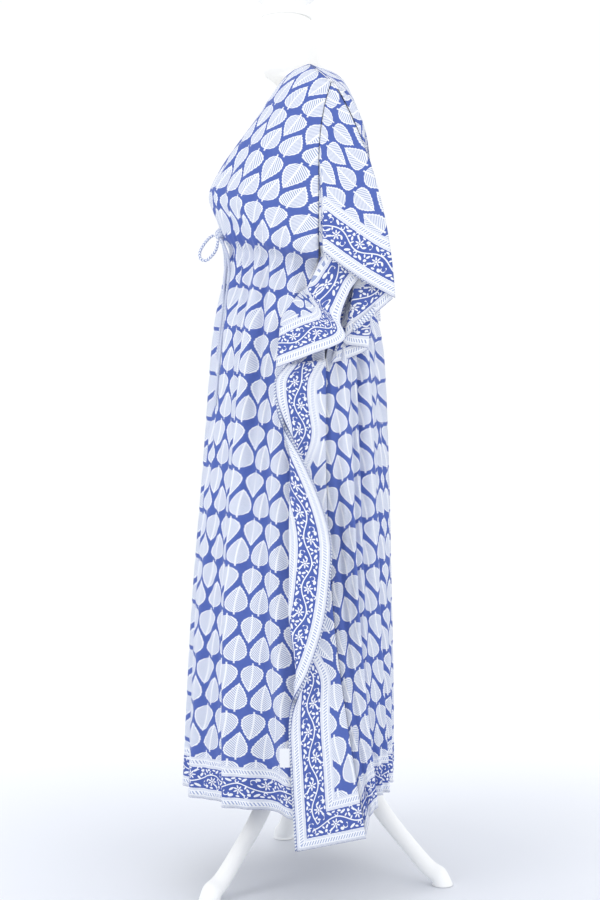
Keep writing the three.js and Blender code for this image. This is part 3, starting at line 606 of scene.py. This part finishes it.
BACK_ROWS = [
    (0.00, 78, -5.4, 1392, 160, 32.8, 1345, 1.3, 0, 0), (0.04, 48, 38, 1384, 164, 62, 1312, 1.3, 0, 0),
    (0.08, 0, 58, 1370, 166, 82, 1275, 1.3, 0, 0), (0.14, 0, 74, 1312, 166, 92, 1215, 1.3, 0, 1),
    (0.21, 0, 84, 1240, 164, 92, 1148, 1.3, 1, 2), (0.28, 0, 88, 1165, 158, 84, 1088, 1.3, 3, 1),
    (0.315, 0, 82, 1098, 150, 76, 1060, 1.2, 4, 0), (0.33, 0, 70, 1068, 138, 58, 1047, 1.2, 3, 0),
    (0.35, 0, 74, 1046, 141, 55, 1028, 1.3, 5, 0), (0.40, 0, 90, 1000, 154, 45, 980, 1.5, 6, 2),
    (0.50, 0, 103, 914, 170, 21.2, 888, 2, 5, 5), (0.72, 0, 112, 706, 186, 22.2, 678, 3, 3, 8),
    (0.94, 0, 115, 494, 196, 34.2, 464, 4, 2, 9), (1.12, 0, 117, 326, 199, 57.2, 286, 5, 2, 9),
    (1.28, 0, 118, 180, 190, 85.2, 114, 6, 2, 9),
]
SECTION_POWER = 0.85
GATHERS_PER_HALF = 7
FOLDS_PER_HALF = 3.5
FOLD_PHASE = 1
SOLID_COLUMNS = 28
CLOTH_THICKNESS = 0.9 * MM
# The gathers: the place of the casing and of the cord's ridge and their half heights in metres, then
# for each kind of gather how many there are from centre to side and how far they stand out in mm.
CASING_V = 0.328
CASING_HALF = 0.05
RIDGE_V = 0.324
RIDGE_HALF = 0.008
RIDGE_RISE = 1.5
SHORT_COUNT = 17
SHORT_RISE = 3.4
LONG_COUNT = 6.3
LONG_RISE = 10.5
NARROW_COUNT = 11.7
NARROW_RISE = 4
# Where the drawstring's tails lie, from u 0.1 to 0.3 and down to v 0.62, the folds stay low.
TAILS_U = 0.2
TAILS_HALF = 0.1
TAILS_END_V = 0.62
# How far from the centre line the print reaches at the side, in metres, for each v.
PRINT_REACH = [(0.0, 0.21), (0.11, 0.25), (0.20, 0.285), (0.33, 0.33), (0.50, 0.37), (1.28, 0.38)]


def fine_gathers(v, u):
    """Outward relief in millimetres, never below zero: short uneven gathers close to the casing,
    which run out into longer ones below it, a ridge over the cord, and slow folds to the hem. Each
    is a cosine wave raised to lie between 0 and 1, with its steps made uneven by slower waves."""
    near_casing = np.exp(-((v - CASING_V) / CASING_HALF) ** 2)
    below = 1 / (1 + np.exp(-(v - 0.42) / 0.03))
    ridge = np.exp(-((v - RIDGE_V) / RIDGE_HALF) ** 2)
    uneven_step = 0.35 * np.sin(9 * u + 2) + 0.2 * np.sin(23 * u + 14 * v)
    short = 0.5 + 0.5 * np.sin(2 * np.pi * (SHORT_COUNT * u + uneven_step))
    long = 0.5 + 0.5 * np.sin(2 * np.pi * (LONG_COUNT * u + 0.22 * np.sin(2.2 * v + 7 * u)) + 0.8)
    narrow = 0.5 + 0.5 * np.sin(2 * np.pi * (NARROW_COUNT * u + 0.2 * np.sin(3 * v + 9 * u)) + 2)
    above_end = 1 / (1 + np.exp((v - TAILS_END_V) / 0.02))
    under_tails = 1 - 0.85 * np.exp(-((u - TAILS_U) / TAILS_HALF) ** 4) * above_end
    return (1 - u**6) * (SHORT_RISE * near_casing * short + RIDGE_RISE * ridge
                         + below * under_tails * (LONG_RISE * long + NARROW_RISE * narrow))


def panel(rows, facing, relief, slack):
    """Half a panel. Each row is a quarter of a rounded section from the centre line to the side,
    with cosine gathers and folds that stand out from it and fade at the side. The neckline runs
    straight between the rows of the table. Slack is how much more of the cloth is taken up near
    the centre line than at the side: its place across is u + slack u(1 - u) of the reach."""
    even = np.linspace(0, PANEL_LENGTH * MM, 129)
    at_casing = np.arange(0.30, 0.36, 0.0025)
    v = np.unique(np.round(np.concatenate([even, at_casing]), 5))
    u = np.linspace(0, 1, 113)[None]
    row = read_table(rows, v)
    keys = [r[0] for r in rows]
    cx = np.interp(v, keys, [r[1] for r in rows])[:, None]
    _, _, cy, cz, sx, sy, sz, fall, gather, fold = [row[:, k:k + 1] for k in range(10)]
    angle = u * np.pi / 2
    across = np.sin(angle) ** SECTION_POWER
    along = np.cos(angle) ** SECTION_POWER
    wave = (1 - u**8) * (gather * np.cos(2 * np.pi * GATHERS_PER_HALF * u)
                         + fold * np.cos(2 * np.pi * FOLDS_PER_HALF * u + FOLD_PHASE))
    wave = wave + relief * fine_gathers(v[:, None], u)
    x = cx + (sx - cx) * across + wave * np.sin(angle) * np.minimum(u * SOLID_COLUMNS, 1)
    y = sy + (cy - sy) * along + facing * wave * np.cos(angle)
    z = cz + (sz - cz) * u**fall
    reach = np.interp(v, *zip(*PRINT_REACH))[:, None]
    part = u + slack * u * (1 - u)
    flat = np.stack(np.broadcast_arrays(cx * MM + (reach - cx * MM) * part, v[:, None]), -1)
    return np.stack([x, y, z], -1) * MM, flat


grid, flat = panel(FRONT_ROWS, -1, 1.0, 0.1)
front = make_piece("front", grid[:, ::-1], flat[:, ::-1], printed_cotton, ["front"],
                   mirrored=True, thickness=CLOTH_THICKNESS)
grid, flat = panel(BACK_ROWS, 1, 1.3, 0.45)
back = make_piece("back", grid, flat, printed_cotton, ["back"],
                  mirrored=True, thickness=CLOTH_THICKNESS)


# The wings: each panel's cloth beyond the side seam at sleeve height, which hangs over the arm's
# place from a root by the bodice to the printed free edge.
# Columns: v, the root's x y z, the edge's x y z, and the bow between them, in millimetres.
WING_FRONT_ROWS = [
    (0.00, 162.1, 30.9, 1343.4, 208, 132, 984, 8, 20, 12), (0.05, 168, 19, 1298, 207, 92, 1006, 9, 14, 6),
    (0.10, 173, 9, 1252, 205, 50, 1034, 9, 8, 0), (0.16, 178, 8, 1196, 200, 16, 1062, 0, 2, 0),
    (0.21, 180, 8, 1144, 197, 50, 1049, 0, 0, 0), (0.27, 179, 9, 1092, 193, 84, 1034, 0, 0, 0),
    (0.31, 170, 13, 1060, 194, 60, 998, 0, 0, 0), (0.37, 163, -6, 1012, 199, 44, 950, 4, 0, 0),
    (0.415, 165, -21, 998, 204, 50, 917, 6, 0, 0), (0.46, 163, -37, 978, 209, -4, 893, 7, 0, 0),
    (0.498, 162, -52, 955, 212, -60, 872, 8, 0, 0),
]
WING_BACK_ROWS = [
    (0.00, 163, 36.2, 1341, 200.5, 128, 984, 8, 20, 12), (0.05, 168, 70, 1302, 188, 90, 952, 4, 16, 10),
    (0.11, 169, 89, 1245, 182, 49, 916, 2, 8, 0), (0.19, 168, 94, 1168, 172, 90, 905, 0, 4, 0),
    (0.29, 160, 84, 1080, 177, 34, 882, 0, 0, 0), (0.40, 160, 44, 972, 181, 38, 892, 0, 0, 0),
]


WING_ROW_COUNT = 101
WING_COLUMN_COUNT = 41


def wing(rows, last_v):
    """A wing's points: on each row a line from root to edge, bowed by 4s(1 - s) of its bow."""
    row = read_table(rows, np.linspace(0, last_v, WING_ROW_COUNT))[:, None]
    s = np.linspace(0, 1, WING_COLUMN_COUNT)[None, :, None]
    return (row[..., 1:4] + (row[..., 4:7] - row[..., 1:4]) * s + row[..., 7:10] * 4 * s * (1 - s)) * MM


def sheet_normals(points):
    """Unit normals of a grid: the cross product of its row and column directions."""
    normal = np.cross(np.gradient(points, axis=0), np.gradient(points, axis=1))
    return normal / np.maximum(np.linalg.norm(normal, axis=2, keepdims=True), 1e-12)


def flat_strip(points, v):
    """Places on the flat panel: its half width less the distance on the cloth to the free edge."""
    steps = np.linalg.norm(np.diff(points, axis=1), axis=2)
    to_edge = np.concatenate([np.cumsum(steps[:, ::-1], axis=1)[:, ::-1], np.zeros((len(points), 1))], 1)
    return np.stack(np.broadcast_arrays(PANEL_HALF_WIDTH * MM - to_edge, v[:, None]), -1)


def flat_wing(points):
    """Places of a wing on the flat panel. Its rows meet the free edge at a slant, so each is split
    into a part square to the edge and a part along it. The slant is evened out over a few rows by
    a bell curve 3 rows wide, cut off after 9."""
    edge = points[:, -1]
    along = np.gradient(edge, axis=0)
    along /= np.linalg.norm(along, axis=1, keepdims=True)
    inward = points[:, 0] - edge
    inward /= np.linalg.norm(inward, axis=1, keepdims=True)
    bell = np.exp(-(np.arange(-9, 10) / 3) ** 2 / 2)
    slant = np.convolve(np.pad((along * inward).sum(1), 9, mode="edge"), bell / bell.sum(), "valid")
    square = np.sqrt(1 - slant**2)
    to_edge = PANEL_HALF_WIDTH * MM - flat_strip(points, slant)[..., 0]
    steps = np.linalg.norm(np.diff(edge, axis=0), axis=1)
    length = np.concatenate([[0], np.cumsum(steps)])
    return np.stack([PANEL_HALF_WIDTH * MM - to_edge * square[:, None],
                     length[:, None] + to_edge * slant[:, None]], -1)


TAPE_WIDTH = 16 * MM
TAPE_OVERHANG = 1.5 * MM
TAPE_THICKNESS = 0.6 * MM


def edge_tape(points, normals, offset, first_row, last_row):
    """The tape's points and flat map: three columns from just past the free edge to its width
    inside it, moved from the cloth along its normals by the offset."""
    edge = points[first_row:last_row, -1]
    inward = points[first_row:last_row, -4] - edge
    inward /= np.linalg.norm(inward, axis=1, keepdims=True)
    distance = np.array([TAPE_WIDTH, TAPE_WIDTH / 2, -TAPE_OVERHANG])
    tape = (edge[:, None] + inward[:, None] * distance[None, :, None]
            + normals[first_row:last_row, -1:] * offset)
    steps = np.linalg.norm(np.diff(edge, axis=0), axis=1)
    length = np.concatenate([[0], np.cumsum(steps)])
    return tape, np.stack(np.broadcast_arrays(distance[None] + 0.5, length[:, None]), -1)


def both_sides(name, points, flat, material, thickness, flipped):
    """A left piece and its mirror image, each a sheet of the given thickness."""
    for side, sense in (("left", 1), ("right", -1)):
        turned = slice(None, None, -1 if flipped == (sense > 0) else 1)
        piece = make_piece(f"{name}_{side}", (points * (sense, 1, 1))[:, turned],
                           (flat * (sense, 1))[:, turned], material, [f"{name}_{side}"],
                           thickness=thickness)


# Each wing: its table, the v of its last row, the side of the cloth that its tape is on, the grid
# rows from the first to past the last of the tape, its flat size and its area.
SINGLE_TAPE_OFFSET = 1.3 * MM
for name, rows, last_v, tape_side, tape_rows, cut, area in (
        ("wing_front", WING_FRONT_ROWS, 0.498, -1, (10, 33), (0.25, 0.498), 0.047),
        ("wing_back", WING_BACK_ROWS, 0.40, 1, (9, 21), (0.20, 0.40), 0.031)):
    points = wing(rows, last_v)
    if name == "wing_front":
        # Down to the casing its root is drawn to just past the front's side edge, as the cloth
        # only turns there. The pull fades from v 0.28 to 0.32 and across the wing.
        v = np.linspace(0, last_v, WING_ROW_COUNT)
        side = read_table(FRONT_ROWS, v)[:, None, 4:7] * MM + (0.0006, 0.0012, 0)
        above_casing = np.clip((0.32 - v) / 0.04, 0, 1)[:, None, None]
        near_root = (1 - np.linspace(0, 1, WING_COLUMN_COUNT)[:, None]) ** 3
        points = points + (side - points[:, :1]) * above_casing * near_root
    normals = sheet_normals(points)
    both_sides(name, points, flat_wing(points), printed_cotton, CLOTH_THICKNESS, True)
    tape, flat = edge_tape(points, normals, tape_side * SINGLE_TAPE_OFFSET, *tape_rows)
    both_sides(f"tape_{name}", tape, flat, hatched_cotton, TAPE_THICKNESS, True)

# The flaps: each panel's cloth beyond the side seam from elbow to hem. The two layers hang together,
# and where the curl is large their outer half turns back on itself.
# Columns: v, reach to the front, curl, spread outwards and drop, in millimetres.
FLAP_ROWS = [
    (0.50, -62, 0, 20, -10), (0.54, -81, 10, 24, 0), (0.60, -72, 55, 34, 0), (0.66, -38, 130, 42, -10),
    (0.72, -10, 200, 46, -20), (0.78, 4, 240, 48, -25), (0.85, -2, 240, 48, -25), (0.92, -17, 230, 48, -24),
    (0.99, -45, 150, 42, -23), (1.06, -82, 50, 34, -22), (1.16, -96, 0, 38, -22), (1.28, -111, 0, 48, -8),
]
SEAM_ALLOWANCE = 5.8
LAYER_OFFSET = 3.5 * MM
LAYER_TAPE_OFFSET = 1 * MM
v = np.linspace(0.50, 1.28, 118)
seam = read_table(FRONT_ROWS, v)[:, None]
row = read_table(FLAP_ROWS, v)[:, None]
s = np.linspace(0, 1, 49)[None]
flap = np.stack([seam[..., 4] + SEAM_ALLOWANCE + row[..., 3] * s,
                 seam[..., 5] + (row[..., 1] - row[..., 2]) * s + row[..., 2] * s**2,
                 seam[..., 6] + row[..., 4] * s], -1) * MM
flap_normals = sheet_normals(flap)
flat = flat_strip(flap, v)
for name, side in (("flap_front", 1), ("flap_back", -1)):
    layer = flap + flap_normals * side * LAYER_OFFSET
    both_sides(name, layer, flat, printed_cotton, CLOTH_THICKNESS, side < 0)
    tape, tape_flat = edge_tape(flap, flap_normals, side * LAYER_TAPE_OFFSET, 0, len(v))
    both_sides(f"tape_{name}", tape, tape_flat, hatched_cotton, TAPE_THICKNESS,
               side < 0)

# The label is a small folded tab of bare white tape by the hem of the left flap.
label_cotton = new_material("bare_white_woven_tape", "#E2E5EA", 0.8)[0]
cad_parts["label"].data.materials.clear()
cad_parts["label"].data.materials.append(label_cotton)
